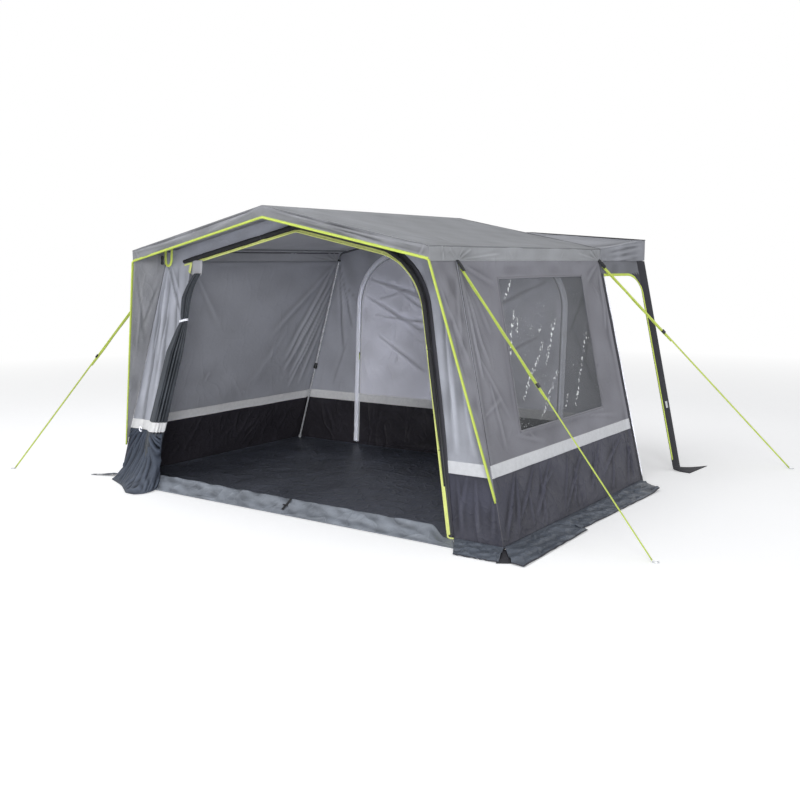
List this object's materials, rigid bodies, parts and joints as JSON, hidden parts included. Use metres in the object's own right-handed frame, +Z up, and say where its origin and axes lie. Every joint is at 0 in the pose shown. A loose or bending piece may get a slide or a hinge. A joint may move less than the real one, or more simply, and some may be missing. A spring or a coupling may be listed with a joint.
{
  "type": "campervan awning",
  "caption": "Drive-away awning with a ridged roof, an arched doorway under a short canopy, a side window and a tunnel to the vehicle.",
  "frame": {"origin": "on the ground, in the middle of the box around the awning without its guys", "axes": "+Z up, +X to the right of someone looking at the front doorway, +Y from the doorway towards the vehicle"},
  "size_m": [6.0056, 4.0628, 2.3],
  "materials": {
    "roof_cloth": "matt coated polyester",
    "wall_cloth": "matt polyester",
    "door_cloth": "matt dark polyester and mesh",
    "ground_cloth": "woven groundsheet cloth",
    "skirt_cloth": "coated apron cloth, dull sheen",
    "strip_cloth": "padded dark cloth",
    "clear_film": "clear flexible film",
    "lime_webbing": "lime green webbing and piping",
    "pale_binding": "light grey binding tape",
    "black_plastic": "moulded black plastic",
    "steel": "satin steel tube",
    "glass_fibre": "dark glass fibre rod"
  },
  "bodies": {
    "awning": {"canopy_fascia": "roof_cloth", "canopy_piping": "lime_webbing", "canopy_wing_left": "roof_cloth", "canopy_wing_right": "roof_cloth", "door_curtain": "door_cloth", "door_piping": "lime_webbing", "door_sill": "skirt_cloth", "eave_pole_left": "glass_fibre", "eave_pole_right": "glass_fibre", "front_wall": "wall_cloth", "gable_pole_front": "glass_fibre", "gable_pole_rear": "glass_fibre", "groundsheet": "ground_cloth", "guy_buckle_front_left": "black_plastic", "guy_buckle_front_right": "black_plastic", "guy_buckle_rear_left": "black_plastic", "guy_buckle_rear_right": "black_plastic", "guy_ring_front_left": "steel", "guy_ring_front_right": "steel", "guy_ring_rear_left": "steel", "guy_ring_rear_right": "steel", "guy_strap_front_left": "lime_webbing", "guy_strap_front_right": "lime_webbing", "guy_strap_rear_left": "lime_webbing", "guy_strap_rear_right": "lime_webbing", "leg_sleeve_front_left": "steel", "leg_sleeve_front_right": "steel", "leg_sleeve_rear_left": "steel", "leg_sleeve_rear_right": "steel", "mesh_roll": "door_cloth", "mud_flap_front_left": "skirt_cloth", "mud_flap_front_right": "skirt_cloth", "mud_flap_left": "skirt_cloth", "mud_flap_right": "skirt_cloth", "rear_door_binding": "pale_binding", "rear_wall": "wall_cloth", "ridge_pole": "glass_fibre", "roof_left": "roof_cloth", "roof_right": "roof_cloth", "side_wall_left": "wall_cloth", "side_wall_right": "wall_cloth", "side_window": "clear_film", "tunnel_roof": "roof_cloth", "tunnel_side_left": "wall_cloth", "tunnel_side_right": "wall_cloth", "vehicle_beading": "black_plastic", "vehicle_strip_left": "strip_cloth", "vehicle_strip_right": "strip_cloth"},
    "rear_door": {"rear_door": "wall_cloth"},
    "zip_slider": {"zip_slider": "black_plastic"},
    "zip_pull": {"zip_pull": "lime_webbing"},
    "leg_front_left": {"leg_front_left": "steel"},
    "guy_tensioner_front_left": {"guy_tensioner_front_left": "black_plastic"},
    "leg_front_right": {"leg_front_right": "steel"},
    "guy_tensioner_front_right": {"guy_tensioner_front_right": "black_plastic"},
    "leg_rear_left": {"leg_rear_left": "steel"},
    "guy_tensioner_rear_left": {"guy_tensioner_rear_left": "black_plastic"},
    "leg_rear_right": {"leg_rear_right": "steel"},
    "guy_tensioner_rear_right": {"guy_tensioner_rear_right": "black_plastic"}
  },
  "joints": [
    {"name": "leg_front_left_slide", "type": "slide", "parent": "awning", "child": "leg_front_left", "axis": [0.2504, 0.0971, 0.9633], "range_m": [0, 0.3]},
    {"name": "leg_front_right_slide", "type": "slide", "parent": "awning", "child": "leg_front_right", "axis": [-0.2504, 0.0971, 0.9633], "range_m": [0, 0.3]},
    {"name": "leg_rear_left_slide", "type": "slide", "parent": "awning", "child": "leg_rear_left", "axis": [0.2511, 0.0589, 0.9662], "range_m": [0, 0.3]},
    {"name": "leg_rear_right_slide", "type": "slide", "parent": "awning", "child": "leg_rear_right", "axis": [-0.2511, 0.0589, 0.9662], "range_m": [0, 0.3]},
    {"name": "guy_tensioner_front_left_slide", "type": "slide", "parent": "awning", "child": "guy_tensioner_front_left", "axis": [-0.6319, -0.208, -0.7466], "range_m": [-0.4, 0.4]},
    {"name": "guy_tensioner_front_right_slide", "type": "slide", "parent": "awning", "child": "guy_tensioner_front_right", "axis": [0.5938, 0.0463, -0.8033], "range_m": [-0.4, 0.4]},
    {"name": "guy_tensioner_rear_left_slide", "type": "slide", "parent": "awning", "child": "guy_tensioner_rear_left", "axis": [-0.5418, 0.4338, -0.7199], "range_m": [-0.4, 0.4]},
    {"name": "guy_tensioner_rear_right_slide", "type": "slide", "parent": "awning", "child": "guy_tensioner_rear_right", "axis": [0.5418, 0.4338, -0.7199], "range_m": [-0.4, 0.4]},
    {"name": "rear_door_fold", "type": "hinge", "parent": "awning", "child": "rear_door", "pos_m": [0, 0.91045, 0.032], "axis": [1, 0, 0], "range_deg": [0, 93]},
    {"name": "zip_slide", "type": "slide", "parent": "awning", "child": "zip_slider", "axis": [0, 0.0609, 0.9981], "range_m": [-0.85, 0.45]},
    {"name": "zip_pull_swing", "type": "hinge", "parent": "zip_slider", "child": "zip_pull", "pos_m": [-1.138, 0.95513, 0.95078], "axis": [1, 0, 0], "range_deg": [-150, 0]}
  ]
}
